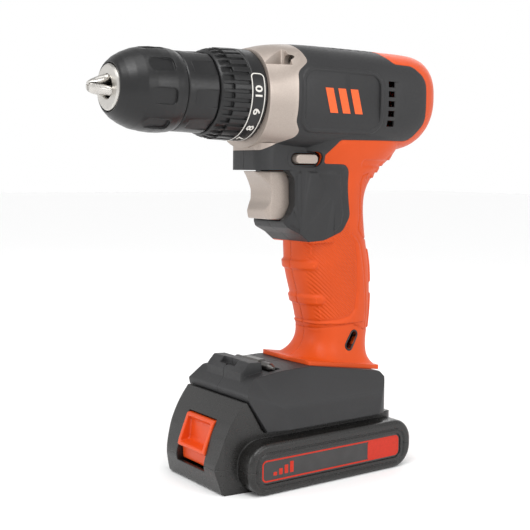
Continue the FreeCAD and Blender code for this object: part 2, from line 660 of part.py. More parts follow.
def wire_run(points, radius):
    """Round wire of straight runs joined by tangent arcs in the middle plane's neighbourhood."""
    edges = []
    start = points[0]
    for i in range(1, len(points) - 1):
        corner = points[i]
        back = points[i - 1].sub(corner)
        ahead = points[i + 1].sub(corner)
        run = min(back.Length, ahead.Length)
        back.normalize()
        ahead.normalize()
        half = back.getAngle(ahead) / 2
        reach = 0.42 * run
        bend = reach * math.tan(half)
        first = corner.add(V(back).multiply(reach))
        last = corner.add(V(ahead).multiply(reach))
        inward = back.add(ahead)
        inward.normalize()
        crown = corner.add(V(inward).multiply(bend / math.sin(half) - bend))
        edges.append(Part.makeLine(start, first))
        edges.append(Part.Arc(first, crown, last).toShape())
        start = last
    edges.append(Part.makeLine(start, points[-1]))
    path = Part.Wire(edges)
    direction = points[1].sub(points[0])
    circle = Part.Wire([Part.makeCircle(radius, points[0], direction)])
    return path.makePipeShell([circle], True, True)


def make_wiring():
    supply = []
    motor = []
    for side in (-1, 1):
        y = side * 5.0
        supply.append(wire_run([V(-30, y, 138.0), V(-30, y, 118.0), V(-42, y, 92.0),
                                V(-42, y, 62.0), V(-36, y, 45.0)], 1.1))
        motor.append(wire_run([V(-38.0, y, 152.0), V(-47.0, y, 152.5), V(-58.0, y * 1.4, 165.0),
                               V(-72.0, y * 2.0, 176.8), V(-88.0, y * 2.2, 181.2)], 1.0))
    save("wiring", Part.makeCompound(supply + motor))


# ---------------------------------------------------------------- foot

def foot_solid():
    profile = slab_y([(-60.4, SPLIT_Z, 0), (-60.4, 46.0, 8), (-56.5, foot_top(-56.5), 3),
                      (-11.6, FOOT_TOP, 20), (8.0, 57.8, 12), (25.0, 56.0, 3), (31.4, 48.6, 1.5),
                      (30.6, 45.6, 0.6), (21.0, SPLIT_Z, 0)], -40, 40)
    section = slab_x([(-33.0, SPLIT_Z, 0), (33.0, SPLIT_Z, 0), (32.0, 41.5, 10), (21.6, 60.0, 6),
                      (-21.6, 60.0, 6), (-32.0, 41.5, 10)], -70, 40)
    plan = slab_z([(-60.4, -33.0, 11), (8.0, -33.0, 30), (33.0, -27.6, 3), (33.0, 27.6, 3),
                   (8.0, 33.0, 30), (-60.4, 33.0, 11)], 20, 80)
    return profile.common(section).common(plan)


def foot_hollow():
    """Room for the battery tower, open below and ahead, with the handle opening above."""
    tower = slab_y([(-56.0, 20, 0), (-56.0, 44.5, 3), (33.0, 44.5, 0), (33.0, 20, 0)],
                   -TOWER_HALF - 0.5, TOWER_HALF + 0.5)
    upper = slab_y([(-50.0, 44.0, 0), (-50.0, 48.5, 2), (-24.0, 51.0, 2), (-24.0, 44.0, 0)], -14, 14)
    return fuse([tower, upper, wire_mouth()])


def make_foot():
    foot = foot_solid().cut(foot_hollow())
    block = slab_y([(14.0, 52.0, 0), (27.4, 52.0, 0), (27.4, 57.6, 0.8), (22.6, 62.6, 1.2),
                    (15.4, 62.2, 1.0)], -16.4, 16.4)
    block = block.common(slab_z([(14.0, -16.4, 1.5), (28.0, -16.4, 2.5), (28.0, 16.4, 2.5),
                                 (14.0, 16.4, 1.5)], 40, 70))
    front_recess = slab_z([(22.0, -7.0, 0), (28.0, -7.0, 0), (28.0, 7.0, 0), (22.0, 7.0, 0)], 59.6, 70)
    foot = foot.fuse(block).cut(front_recess)
    foot = foot.cut(rod_z(1.3, 50.0, 70.0, 24.4, 0))
    channel = rod_y(BIT_RADIUS + 0.35, -19.0, 19.0, BIT_X, BIT_Z)
    foot = foot.cut([channel, box(BIT_X - BIT_RADIUS - 0.35, BIT_X + BIT_RADIUS + 0.35,
                                  -19.0, 19.0, BIT_Z, 70)])
    left = left_half(foot)
    save("left_foot_shell", left)
    save("right_foot_shell", mirror_y(left))
    hexagon = [(BIT_X + BIT_RADIUS * math.cos(math.radians(60 * i)),
                BIT_Z + BIT_RADIUS * math.sin(math.radians(60 * i)), 0) for i in range(6)]
    bit = slab_y(hexagon, -7.0, 7.0)
    shank = rod_y(2.4, -15.0, 15.0, BIT_X, BIT_Z)
    tips = [Part.makeCone(2.4, 0.9, 3.0, V(BIT_X, s * 15.0, BIT_Z), V(0, s, 0)) for s in (-1, 1)]
    save("spare_bit", fuse([bit, shank] + tips))


def make_terminals():
    block = box(-54.0, -40.0, -12.0, 12.0, 31.5, 43.8)
    save("terminal_block", block)
    blades = [box(-40.0, -28.0, y - 0.4, y + 0.4, 33.5, 40.5) for y in BLADE_PLACES]
    save("terminal_blades", Part.makeCompound(blades))


# ---------------------------------------------------------------- battery

def battery_outer():
    nose = slab_y([(-66.5, 0, 2), (44.4, 0, 3), (48.0, 13.0, 9), (41.4, 34.6, 50), (32.4, 45.2, 0.8),
                   (31.3, 45.2, 0), (21.4, SPLIT_Z - 0.6, 0), (-66.5, SPLIT_Z - 0.6, 4)], -27.4, 27.4)
    plan = slab_z([(-66.5, -27.4, 6), (28.0, -27.4, 40), (49.0, -25.0, 6.5), (49.0, 25.0, 6.5),
                   (28.0, 27.4, 40), (-66.5, 27.4, 6)], -5, 60)
    core = nose.common(plan)
    pods = both_sides(pod_solid())
    tower = slab_y([(TOWER_REAR, 25.0, 0), (TOWER_REAR, 43.8, 2), (29.8, 43.8, 0), (19.0, 25.0, 0)],
                   -TOWER_HALF, TOWER_HALF)
    return core.fuse(pods + [tower])


def pod_solid():
    outer_y = BATTERY_WIDTH / 2
    pod = rounded_box_y(-70.5, 36.2, 0.0, POD_HEIGHT, 20.0, outer_y, 11.5)
    pod = soften(pod, 2.4, lambda edge: edge.BoundBox.YMin > outer_y - 0.01)
    recess = rounded_box_y(-62.6, 29.8, 5.8, 19.0, outer_y - 1.0, outer_y + 5, 4.0)
    return pod.cut(recess)


def battery_hollow():
    half = CELL_LENGTH / 2 + 0.8
    cells = rounded_box_y(-62.6, 31.6, 2.8, 23.4, -half, half, 7.0)
    slots = [box(-60.0, -20.0, y - 1.0, y + 1.0, 32.0, 50.0) for y in BLADE_PLACES]
    board_room = box(-54.0, 18.0, -17.5, 17.5, 24.0, 31.5)
    return cells.fuse([board_room] + slots)


def button_pocket():
    return slab_y([(34.0, 9.8, 0), (60.0, 9.8, 0), (60.0, 35.2, 0), (34.0, 35.2, 0)], -13.2, 13.2).fuse(
        box(34.0, 44.9, -13.2, 13.2, 5.8, 30.0))


def make_battery():
    shell = battery_outer().cut([battery_hollow(), button_pocket()])
    lower_zone = box(-100, 100, -60, 60, -10, CASE_SPLIT_Z)
    lower = shell.common(lower_zone)
    upper = shell.cut(lower_zone)
    save("battery_lower_shell", lower)
    save("battery_upper_shell", upper)
    cells = []
    pitch = 2 * CELL_RADIUS + 0.3
    for i in range(CELLS):
        x = -15.5 + pitch * (i - (CELLS - 1) / 2)
        cells.append(rod_y(CELL_RADIUS, -CELL_LENGTH / 2, CELL_LENGTH / 2, x, 13.1))
    save("battery_cells", Part.makeCompound(cells))
    save("battery_board", box(-50.0, 16.0, -17.0, 17.0, 24.4, 26.0))
    contacts = []
    for y in BLADE_PLACES:
        clip = box(-41.0, -26.5, y - 1.4, y + 1.4, 26.0, 31.3)
        contacts.append(clip.cut(box(-42, -26, y - 0.6, y + 0.6, 28.0, 32)))
    save("battery_contacts", Part.makeCompound(contacts))
    outer_y = BATTERY_WIDTH / 2
    label = rounded_box_y(-62.4, 29.6, 6.0, 18.8, outer_y - 1.0, outer_y - 0.6, 3.8)
    save("battery_labels", Part.makeCompound(both_sides(label)))
    save("release_button", release_button())
    save("button_spring", button_spring())


def release_button():
    half = 12.7
    body = slab_y([(38.4, 10.6, 0), (44.0, 10.6, 0.5), (44.4, 17.4, 0), (47.6, 17.6, 1.2),
                   (46.9, 21.0, 20), (41.6, 34.4, 1.2), (38.4, 34.4, 0)], -half, half)
    rim = 2.0
    scoop = slab_y([(41.0, 20.4, 2), (60.0, 18.6, 0), (60.0, 32.6, 0), (38.0 + 2.0, 32.6, 2)],
                   -half + rim, half - rim)
    ledge = box(34.4, 38.6, -3.0, 3.0, 21.1, 23.0)
    return body.cut(scoop).fuse(ledge)


def button_spring():
    """Spring that lifts the release button."""
    return coil_spring(V(36.3, 0, 12.0), V(0, 0, 1), 9.0, 1.7, 0.3, 4)


def save(name, shape):
    solids = [solid for solid in shape.Solids if solid.Volume > 1.0]
    result = solids[0] if len(solids) == 1 else Part.makeCompound(solids)
    result.exportStep("parts/" + name + ".step")
    print(name, "solids", len(solids), "valid", result.isValid(), "volume", round(result.Volume, 1))


def main():
    os.makedirs("parts", exist_ok=True)
    make_screws()
    make_jaws()
    make_chuck()
    make_torque_collar()
    make_gearbox()
    make_motor()
    make_trigger()
    make_wiring()
    make_terminals()
    make_foot()
    make_battery()
    make_housing()


main()
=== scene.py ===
import json
import math

import bmesh
import bpy
import numpy as np
from mathutils import Matrix, Vector
from mathutils.bvhtree import BVHTree

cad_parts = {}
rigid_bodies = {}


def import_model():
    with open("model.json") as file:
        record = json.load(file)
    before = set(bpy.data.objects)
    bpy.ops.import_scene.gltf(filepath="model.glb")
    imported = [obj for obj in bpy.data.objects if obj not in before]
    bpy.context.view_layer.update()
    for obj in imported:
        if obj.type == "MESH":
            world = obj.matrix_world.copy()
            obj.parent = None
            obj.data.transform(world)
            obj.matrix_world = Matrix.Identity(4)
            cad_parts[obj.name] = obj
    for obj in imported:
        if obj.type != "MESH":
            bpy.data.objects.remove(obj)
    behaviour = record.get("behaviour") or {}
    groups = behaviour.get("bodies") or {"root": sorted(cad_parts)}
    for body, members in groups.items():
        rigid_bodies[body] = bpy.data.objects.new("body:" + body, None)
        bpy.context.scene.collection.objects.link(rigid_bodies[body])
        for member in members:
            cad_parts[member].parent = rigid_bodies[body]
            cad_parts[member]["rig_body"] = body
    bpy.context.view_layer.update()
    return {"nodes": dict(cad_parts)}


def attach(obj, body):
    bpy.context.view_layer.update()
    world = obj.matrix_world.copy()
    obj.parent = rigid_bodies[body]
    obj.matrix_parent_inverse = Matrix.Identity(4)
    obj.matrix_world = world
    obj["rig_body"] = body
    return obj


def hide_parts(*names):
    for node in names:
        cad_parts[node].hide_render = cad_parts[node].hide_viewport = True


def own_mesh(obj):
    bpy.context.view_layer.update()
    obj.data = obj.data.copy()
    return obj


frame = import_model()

nodes = frame["nodes"]
MM = 0.001
AXIS_Z = 0.197                              # height of the drill axis, metres
CAMERA_PLACE = (0.30239, 0.4183, 0.1587)    # metres, in the part's frame
CAMERA_LENS = 66.95
CAMERA_YAW, CAMERA_PITCH, CAMERA_ROLL = 54.301, 5.416, 0.554
FLOOR_HALF = 6.0


# ------------------------------------------------------------ camera, floor and light

def look_matrix(place, yaw, pitch, roll):
    """Camera matrix looking back along a direction given in degrees, with a little roll."""
    a, b, c = (math.radians(v) for v in (yaw, pitch, roll))
    back = Vector((math.cos(b) * math.cos(a), math.cos(b) * math.sin(a), math.sin(b)))
    right = (-back).cross(Vector((0, 0, 1))).normalized()
    up = right.cross(-back)
    right, up = math.cos(c) * right + math.sin(c) * up, math.cos(c) * up - math.sin(c) * right
    turn = Matrix((right, up, back)).transposed().to_4x4()
    return Matrix.Translation(place) @ turn


def make_camera():
    data = bpy.data.cameras.new("camera")
    data.sensor_width = 36.0
    data.lens = CAMERA_LENS
    data.clip_start = 0.01
    camera = bpy.data.objects.new("camera", data)
    bpy.context.scene.collection.objects.link(camera)
    camera.matrix_world = look_matrix(Vector(CAMERA_PLACE), CAMERA_YAW, CAMERA_PITCH, CAMERA_ROLL)
    bpy.context.scene.camera = camera


def area_light(name, place, target, size, power):
    data = bpy.data.lights.new(name, "AREA")
    data.shape = "RECTANGLE"
    data.size, data.size_y = size
    data.energy = power
    light = bpy.data.objects.new(name, data)
    bpy.context.scene.collection.objects.link(light)
    light.location = place
    light.rotation_mode = "QUATERNION"
    light.rotation_quaternion = (Vector(target) - Vector(place)).to_track_quat("-Z", "Y")


def make_floor():
    mesh = bpy.data.meshes.new("floor")
    r = FLOOR_HALF
    mesh.from_pydata([(-r, -r, 0), (r, -r, 0), (r, r, 0), (-r, r, 0)], [], [(0, 1, 2, 3)])
    floor = bpy.data.objects.new("floor", mesh)
    bpy.context.scene.collection.objects.link(floor)
    material = bpy.data.materials.new("floor_paper")
    material.use_nodes = True
    shader = material.node_tree.nodes["Principled BSDF"]
    shader.inputs["Base Color"].default_value = (0.92, 0.92, 0.92, 1)
    shader.inputs["Roughness"].default_value = 0.9
    mesh.materials.append(material)


def make_world():
    """Soft studio surround, white behind and round the object and dimmer overhead."""
    world = bpy.data.worlds.new("studio")
    world.use_nodes = True
    tree = world.node_tree
    background = tree.nodes["Background"]
    place = tree.nodes.new("ShaderNodeTexCoord")
    split = tree.nodes.new("ShaderNodeSeparateXYZ")
    tree.links.new(place.outputs["Generated"], split.inputs[0])
    height = tree.nodes.new("ShaderNodeMapRange")
    height.inputs["From Min"].default_value = 0.25
    height.inputs["From Max"].default_value = 0.75
    height.inputs["To Min"].default_value = 1.0
    height.inputs["To Max"].default_value = 0.5
    tree.links.new(split.outputs["Z"], height.inputs["Value"])
    tree.links.new(height.outputs["Result"], background.inputs["Strength"])
    background.inputs["Color"].default_value = (1, 1, 1, 1)
    bpy.context.scene.world = world
    bpy.context.scene.view_settings.view_transform = "Standard"


def make_lights():
    middle = (0, 0, 0.12)
    sun = bpy.data.lights.new("overhead", "SUN")
    sun.energy = 1.45
    sun.angle = math.radians(60)
    overhead = bpy.data.objects.new("overhead", sun)
    bpy.context.scene.collection.objects.link(overhead)
    overhead.rotation_mode = "QUATERNION"
    overhead.rotation_quaternion = Vector((-0.25, -0.30, -0.9)).to_track_quat("-Z", "Y")
    area_light("key", (0.45, 0.30, 0.85), middle, (0.35, 0.35), 2.0)
    area_light("left_side", (-0.25, 0.90, 0.45), middle, (0.6, 0.3), 2.0)
    area_light("front", (0.85, -0.35, 0.45), middle, (0.4, 0.4), 1.5)
    area_light("rear", (-0.8, -0.5, 0.6), middle, (0.6, 0.6), 1.8)


# ------------------------------------------------------------ materials

def srgb(code):
    """Linear colour from a six-digit sRGB code."""
    values = [int(code[i:i + 2], 16) / 255 for i in (0, 2, 4)]
    return tuple(v / 12.92 if v <= 0.04045 else ((v + 0.055) / 1.055) ** 2.4 for v in values)


class Maker:
    """Small helper that adds linked shader nodes to a material."""

    def __init__(self, name):
        self.material = bpy.data.materials.new(name)
        self.material.use_nodes = True
        self.tree = self.material.node_tree
        self.shader = self.tree.nodes["Principled BSDF"]

    def node(self, kind, **values):
        made = self.tree.nodes.new(kind)
        for key, value in values.items():
            if key in made.inputs:
                made.inputs[key].default_value = value
            else:
                setattr(made, key, value)
        return made

    def link(self, a, b):
        self.tree.links.new(a, b)

    def place(self):
        """Position on the piece in metres."""
        return self.node("ShaderNodeTexCoord").outputs["Object"]

    def noise(self, scale, detail=2.0, rough=0.5):
        made = self.node("ShaderNodeTexNoise", Scale=scale, Detail=detail, Roughness=rough)
        self.link(self.place(), made.inputs["Vector"])
        return made.outputs["Fac"]

    def ramp(self, value, low, high, from_low=0.3, from_high=0.7):
        made = self.node("ShaderNodeMapRange")
        self.link(value, made.inputs["Value"])
        made.inputs["From Min"].default_value = from_low
        made.inputs["From Max"].default_value = from_high
        made.inputs["To Min"].default_value = low
        made.inputs["To Max"].default_value = high
        return made.outputs["Result"]

    def mix(self, factor, a, b):
        made = self.node("ShaderNodeMix", data_type="RGBA")
        made.inputs[6].default_value = (*a, 1)
        made.inputs[7].default_value = (*b, 1)
        self.link(factor, made.inputs[0])
        return made.outputs[2]

    def bump(self, height, strength, distance, normal=None):
        made = self.node("ShaderNodeBump")
        made.inputs["Strength"].default_value = strength
        made.inputs["Distance"].default_value = distance
        self.link(height, made.inputs["Height"])
        if normal is not None:
            self.link(normal, made.inputs["Normal"])
        return made.outputs["Normal"]

    def set(self, name, value):
        self.shader.inputs[name].default_value = value

    def feed(self, name, output):
        self.link(output, self.shader.inputs[name])


def worn_edges(m, colour_output, highlight_colour, amount):
    """Painted highlight: lightens sharp edges slightly, from the surface's own curvature, where they catch
    the light.
    """
    geometry = m.node("ShaderNodeNewGeometry")
    edge = m.ramp(geometry.outputs["Pointiness"], 0.0, amount, 0.52, 0.60)
    made = m.node("ShaderNodeMix", data_type="RGBA")
    m.link(edge, made.inputs[0])
    m.link(colour_output, made.inputs[6])
    made.inputs[7].default_value = (*highlight_colour, 1)
    return made.outputs[2]


RIB_PITCH = 0.00145
EDGE_RADIUS = 0.0009


def diagonal_ribs(m):
    """Fine moulded ribs running down and rearward, where the grip attribute is set."""
    along = m.node("ShaderNodeVectorMath", operation="DOT_PRODUCT")
    m.link(m.place(), along.inputs[0])
    turn = 2 * math.pi / RIB_PITCH / math.sqrt(2)
    along.inputs[1].default_value = (turn, 0, -turn)
    wave = m.node("ShaderNodeMath", operation="SINE")
    m.link(along.outputs["Value"], wave.inputs[0])
    mask = m.node("ShaderNodeAttribute", attribute_name="grip")
    made = m.node("ShaderNodeMath", operation="MULTIPLY")
    m.link(wave.outputs[0], made.inputs[0])
    m.link(mask.outputs["Fac"], made.inputs[1])
    return made.outputs[0]


def moulded_plastic(name, code, rough, grain, depth, spread=0.08, coat=0.0, spec=0.5, edge=0.25,
                    ribbed=False):
    """Injection-moulded plastic: faint tone drift, spark-eroded grain and a painted highlight on sharp
    edges.
    """
    m = Maker(name)
    base = np.array(srgb(code))
    darker = tuple(base * (1 - spread))
    lighter = tuple(np.minimum(base * (1 + spread), 1))
    tone = m.mix(m.ramp(m.noise(38.0, 3.0), 0, 1), darker, lighter)
    # painted highlight on sharp edges, in a lighter tone of the base colour
    light = tuple(np.minimum(base * 1.5 + 0.02, 1))
    m.feed("Base Color", worn_edges(m, tone, light, edge))
    m.feed("Roughness", m.ramp(m.noise(900.0, 2.0), rough - 0.05, rough + 0.06))
    fine = m.noise(grain, 2.0, 0.6)
    softened = m.node("ShaderNodeBevel", samples=4)
    softened.inputs["Radius"].default_value = EDGE_RADIUS
    normal = m.bump(fine, 0.35, depth, softened.outputs["Normal"])
    if ribbed:
        normal = m.bump(diagonal_ribs(m), 1.0, 0.00013, normal)
    m.feed("Normal", normal)
    m.set("Specular IOR Level", spec)
    if coat:
        m.set("Coat Weight", coat)
        m.set("Coat Roughness", 0.25)
    return m.material


def satin_metal_paint(name, code, rough):
    """Warm silver paint with fine flake."""
    m = Maker(name)
    base = np.array(srgb(code))
    lighter = tuple(np.minimum(base * 1.12, 1))
    flake = m.mix(m.ramp(m.noise(5200.0, 1.0), 0, 1, 0.35, 0.65), tuple(base * 0.86), lighter)
    # painted highlight on sharp edges, lighter than the paint
    m.feed("Base Color", worn_edges(m, flake, tuple(np.minimum(base * 1.4, 1)), 0.3))
    m.feed("Roughness", m.ramp(m.noise(2600.0), rough - 0.05, rough + 0.06))
    m.feed("Normal", m.bump(m.noise(2500.0, 2.0), 0.2, 0.00004))
    m.set("Metallic", 0.45)
    m.set("Coat Weight", 0.2)
    m.set("Coat Roughness", 0.3)
    return m.material


def machined_metal(name, code, rough, ring_scale=1600.0, metallic=1.0):
    """Turned or drawn metal with fine tool rings across the drill axis."""
    m = Maker(name)
    base = np.array(srgb(code))
    separate = m.node("ShaderNodeSeparateXYZ")
    m.link(m.place(), separate.inputs[0])
    across = m.node("ShaderNodeVectorMath", operation="LENGTH")
    shifted = m.node("ShaderNodeVectorMath", operation="SUBTRACT")
    m.link(m.place(), shifted.inputs[0])
    shifted.inputs[1].default_value = (0, 0, AXIS_Z)
    m.link(shifted.outputs[0], across.inputs[0])
    rings = m.node("ShaderNodeTexNoise", Scale=ring_scale, Detail=1.0)
    rings.noise_dimensions = "1D"
    m.link(across.outputs["Value"], rings.inputs["W"])
    tone = m.mix(m.ramp(m.noise(160.0, 3.0), 0, 1), tuple(base * 0.88), tuple(np.minimum(base * 1.08, 1)))
    m.feed("Base Color", tone)
    m.feed("Roughness", m.ramp(rings.outputs["Fac"], rough - 0.08, rough + 0.1))
    m.feed("Normal", m.bump(rings.outputs["Fac"], 0.25, 0.00005))
    m.set("Metallic", metallic)
    return m.material


def varied(name, code, second, scale, rough, metallic=0.0, depth=0.00004):
    """Plain part finish with two tones mixed by noise."""
    m = Maker(name)
    m.feed("Base Color", m.mix(m.ramp(m.noise(scale, 3.0), 0, 1), srgb(code), srgb(second)))
    m.feed("Roughness", m.ramp(m.noise(scale * 6), rough - 0.05, rough + 0.07))
    m.feed("Normal", m.bump(m.noise(scale * 12), 0.3, depth))
    m.set("Metallic", metallic)
    return m.material


def make_materials():
    return {
        "orange_plastic": moulded_plastic("orange_plastic", "CA4914", 0.42, 2600, 0.00004, 0.05,
                                          spec=0.22, ribbed=True),
        "charcoal_plastic": moulded_plastic("charcoal_plastic", "282829", 0.5, 2400, 0.00006, 0.08,
                                            spec=0.35),
        "taupe_plastic": satin_metal_paint("taupe_plastic", "A69A91", 0.38),
        "black_plastic": moulded_plastic("black_plastic", "161617", 0.34, 2600, 0.00006, 0.1, spec=0.42),
        "steel": machined_metal("steel", "C9C6C1", 0.28),
        "dark_steel": machined_metal("dark_steel", "6E6C6A", 0.35),
        "nylon_gear": varied("nylon_gear", "D8D2C4", "CFC8B8", 120, 0.45),
        "brass": machined_metal("brass", "C9A45A", 0.3),
        "magnet": varied("magnet", "3A3A3D", "46464A", 300, 0.6),
        "copper_winding": varied("copper_winding", "B0622F", "8E4A22", 900, 0.35, 0.9),
        "red_button": moulded_plastic("red_button", "D2460F", 0.36, 2600, 0.00004, 0.05, spec=0.45),
        "battery_case": moulded_plastic("battery_case", "191817", 0.30, 2400, 0.00005, 0.08, spec=0.5),
        "label": varied("label", "2B2A2A", "333232", 200, 0.38),
        "cell": varied("cell", "3E6EA8", "37629A", 60, 0.35),
        "board": varied("board", "2E6B3C", "27603A", 150, 0.45),
        "wire": varied("wire", "B02A22", "A02420", 100, 0.45),
    }


def node_slots():
    """Material slot of each CAD node, as packed."""
    return {name: node.data.materials[0].name.split(".")[0] for name, node in nodes.items()}


GLOSSIER = ("battery_lower_shell", "battery_upper_shell")


def finish_nodes(materials, slots):
    for name, node in nodes.items():
        node.data.materials.clear()
        node.data.materials.append(materials["battery_case" if name in GLOSSIER else slots[name]])


# ------------------------------------------------------------ mesh tools

def node_arrays(node):
    """Welded points in millimetres and triangles of a CAD node."""
    mesh = nodes[node].data
    mesh.calc_loop_triangles()
    points = np.array([v.co for v in mesh.vertices], float).reshape(-1, 3) * 1000
    corners = np.array([t.vertices for t in mesh.loop_triangles], int).reshape(-1, 3)
    first, inverse = np.unique(np.round(points, 4), axis=0, return_index=True, return_inverse=True)[1:]
    corners = inverse.reshape(-1)[corners]
    real = np.all(corners != np.roll(corners, -1, axis=1), axis=1)
    return points[first], corners[real]


def split_long_edges(points, corners, longest, wanted, rounds=9):
    """Splits triangle edges over a length inside a zone, keeping the mesh watertight."""
    for _ in range(rounds):
        pairs = np.stack([corners, np.roll(corners, -1, axis=1)], 2).reshape(-1, 2)
        edges, inverse = np.unique(np.sort(pairs, axis=1), axis=0, return_inverse=True)
        inverse = inverse.reshape(-1)
        middle = (points[edges[:, 0]] + points[edges[:, 1]]) / 2
        length = np.linalg.norm(points[edges[:, 0]] - points[edges[:, 1]], axis=1)
        chosen = (length > longest) & wanted(middle)
        if not chosen.any():
            break
        index = np.full(len(edges), -1)
        index[chosen] = len(points) + np.arange(chosen.sum())
        points = np.vstack([points, middle[chosen]])
        halves = index[inverse].reshape(-1, 3)
        count = (halves >= 0).sum(1)
        made = [corners[count == 0]]
        for turn in range(3):
            c = np.roll(corners, -turn, axis=1)
            h = np.roll(halves, -turn, axis=1)
            one = (count == 1) & (h[:, 0] >= 0)
            made.append(np.stack([c[one, 0], h[one, 0], c[one, 2]], 1))
            made.append(np.stack([h[one, 0], c[one, 1], c[one, 2]], 1))
            two = (count == 2) & (h[:, 2] < 0)
            made.append(np.stack([h[two, 0], c[two, 1], h[two, 1]], 1))
            made.append(np.stack([c[two, 0], h[two, 0], h[two, 1]], 1))
            made.append(np.stack([c[two, 0], h[two, 1], c[two, 2]], 1))
        c, h = corners[count == 3], halves[count == 3]
        made.append(np.stack([c[:, 0], h[:, 0], h[:, 2]], 1))
        made.append(np.stack([h[:, 0], c[:, 1], h[:, 1]], 1))
        made.append(np.stack([h[:, 2], h[:, 1], c[:, 2]], 1))
        made.append(h)
        corners = np.vstack(made)
    return points, corners


def point_normals(points, corners):
    a, b, c = (points[corners[:, i]] for i in range(3))
    faces = np.cross(b - a, c - a)
    total = np.zeros_like(points)
    for i in range(3):
        np.add.at(total, corners[:, i], faces)
    return total / np.maximum(np.linalg.norm(total, axis=1, keepdims=True), 1e-12)


def new_object(name, points, faces, material, crease=38):
    """Mesh object from points in millimetres, smooth except at creases."""
    mesh = bpy.data.meshes.new(name)
    mesh.from_pydata((np.asarray(points) * MM).tolist(), [], [list(map(int, f)) for f in faces])
    mesh.polygons.foreach_set("use_smooth", [True] * len(mesh.polygons))
    mesh.set_sharp_from_angle(angle=math.radians(crease))
    mesh.materials.append(material)
    made = bpy.data.objects.new(name, mesh)
    bpy.context.scene.collection.objects.link(made)
    return made


def smooth_step(value, low, high):
    t = np.clip((value - low) / (high - low), 0, 1)
    return t * t * (3 - 2 * t)


def line_distance(path, x, z):
    """Distance in the side view from points to an open path."""
    best = np.full(len(x), 1e9)
    for (ax, az), (bx, bz) in zip(path[:-1], path[1:]):
        dx, dz = bx - ax, bz - az
        t = np.clip(((x - ax) * dx + (z - az) * dz) / (dx * dx + dz * dz), 0, 1)
        best = np.minimum(best, np.hypot(x - ax - t * dx, z - az - t * dz))
    return best


def outline_distance(path, x, z):
    """Signed distance in the side view to a closed outline, negative inside."""
    closed = path + path[:1]
    inside = np.zeros(len(x), bool)
    for (ax, az), (bx, bz) in zip(closed[:-1], closed[1:]):
        crosses = (az > z) != (bz > z)
        rise = bz - az if bz != az else 1e-9
        inside ^= crosses & (x < (bx - ax) * (z - az) / rise + ax)
    return np.where(inside, -1, 1) * line_distance(closed, x, z)


def box_distance(x, z, x0, x1, z0, z1, radius):
    """Signed distance to a rectangle with rounded corners."""
    dx = np.abs(x - (x0 + x1) / 2) - (x1 - x0) / 2 + radius
    dz = np.abs(z - (z0 + z1) / 2) - (z1 - z0) / 2 + radius
    outside = np.hypot(np.maximum(dx, 0), np.maximum(dz, 0))
    return outside + np.minimum(np.maximum(dx, dz), 0) - radius


def groove(distance, width, depth):
    return -depth * (1 - smooth_step(np.abs(distance), width * 0.25, width * 0.75))


def reshape(node, longest, zone, relief, marks=None, crease=38):
    """Piece that replaces a CAD node, with relief raised or cut along its outer surface."""
    points, corners = node_arrays(node)
    normals = point_normals(points, corners)
    points, corners = split_long_edges(points, corners, longest, zone)
    normals = point_normals(points, corners)
    height = relief(points, normals)
    moved = points + normals * height[:, None]
    piece = new_object(node + "_detailed", moved, corners, nodes[node].data.materials[0], crease)
    if marks is not None:
        layer = piece.data.attributes.new("grip", "FLOAT", "POINT")
        layer.data.foreach_set("value", marks(points, normals).astype(np.float32))
    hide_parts(node)
    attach(piece, nodes[node]["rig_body"])
    return piece


# ------------------------------------------------------------ grip relief

FIELD = [(-5, 78.4), (-13.7, 78.4), (-20.4, 78.6), (-36, 80.2), (-42.5, 81.7), (-46, 85.2), (-47.6, 95),
         (-47.2, 111.4), (-45.9, 120.5), (-42.3, 124.6), (-42, 132), (0, 132)]
BAND_REAR = [(-43.5, 126.4), (-47.0, 124.2), (-50.2, 119.9), (-53.0, 105.5), (-55.4, 88.8), (-55.2, 73.8)]
LOWER_GROOVE = [(-5, 76.2), (-13, 75.6), (-23.8, 74.9), (-34.8, 76.8), (-44.6, 77.4), (-50, 75.0),
                (-53.4, 73.2), (-64, 72.6)]
UPPER_GROOVE = [(-52, 158.0), (-48.7, 157.4), (-47.6, 154.6), (-49.1, 146), (-49.9, 135.2), (-48.2, 129.8),
                (-49.0, 126.9), (-53.1, 123.2), (-64, 121.8)]
FINGER_RIDGES = [(109.6, 2.4, -22.4), (90.6, 2.5, -27.2)]
REAR_PADS = [(98.6, 117.0), (73.4, 92.6)]
REAR_STEPS = (155.6, 158.6, 161.8, 165.4, 169.2)
RIB_SLOT = (-70.0, -44.6, 161.0, 165.6)


def handle_spans():
    """Front and rear x of the grip against height, from the CAD shell."""
    points = node_arrays("left_housing_shell")[0]
    levels = np.arange(54.0, 172.0, 2.0)
    fronts, rears = [], []
    for level in levels:
        near = points[(np.abs(points[:, 2] - level) < 2.5) & (points[:, 0] > -92)]
        fronts.append(near[:, 0].max())
        rears.append(near[:, 0].min())
    return levels, np.array(fronts), np.array(rears)


def grip_outside(points, normals):
    """1 on the outer surface of the grip, 0 inside the shell."""
    levels, fronts, rears = spans
    rear = np.interp(points[:, 2], levels, rears)
    front = np.interp(points[:, 2], levels, fronts)
    middle = (front + rear) / 2
    outward = normals[:, 0] * (points[:, 0] - middle) / 12 + normals[:, 1] * points[:, 1] / 12
    return smooth_step(outward, 0.15, 0.45)


def grip_zone(points):
    x, y, z = points.T
    side = (np.abs(y) > 14.4) | (x > np.interp(z, spans[0], spans[1]) - 8) | (
        x < np.interp(z, spans[0], spans[2]) + 9)
    return side & (z > 64) & (z < 172) & (x < -4)


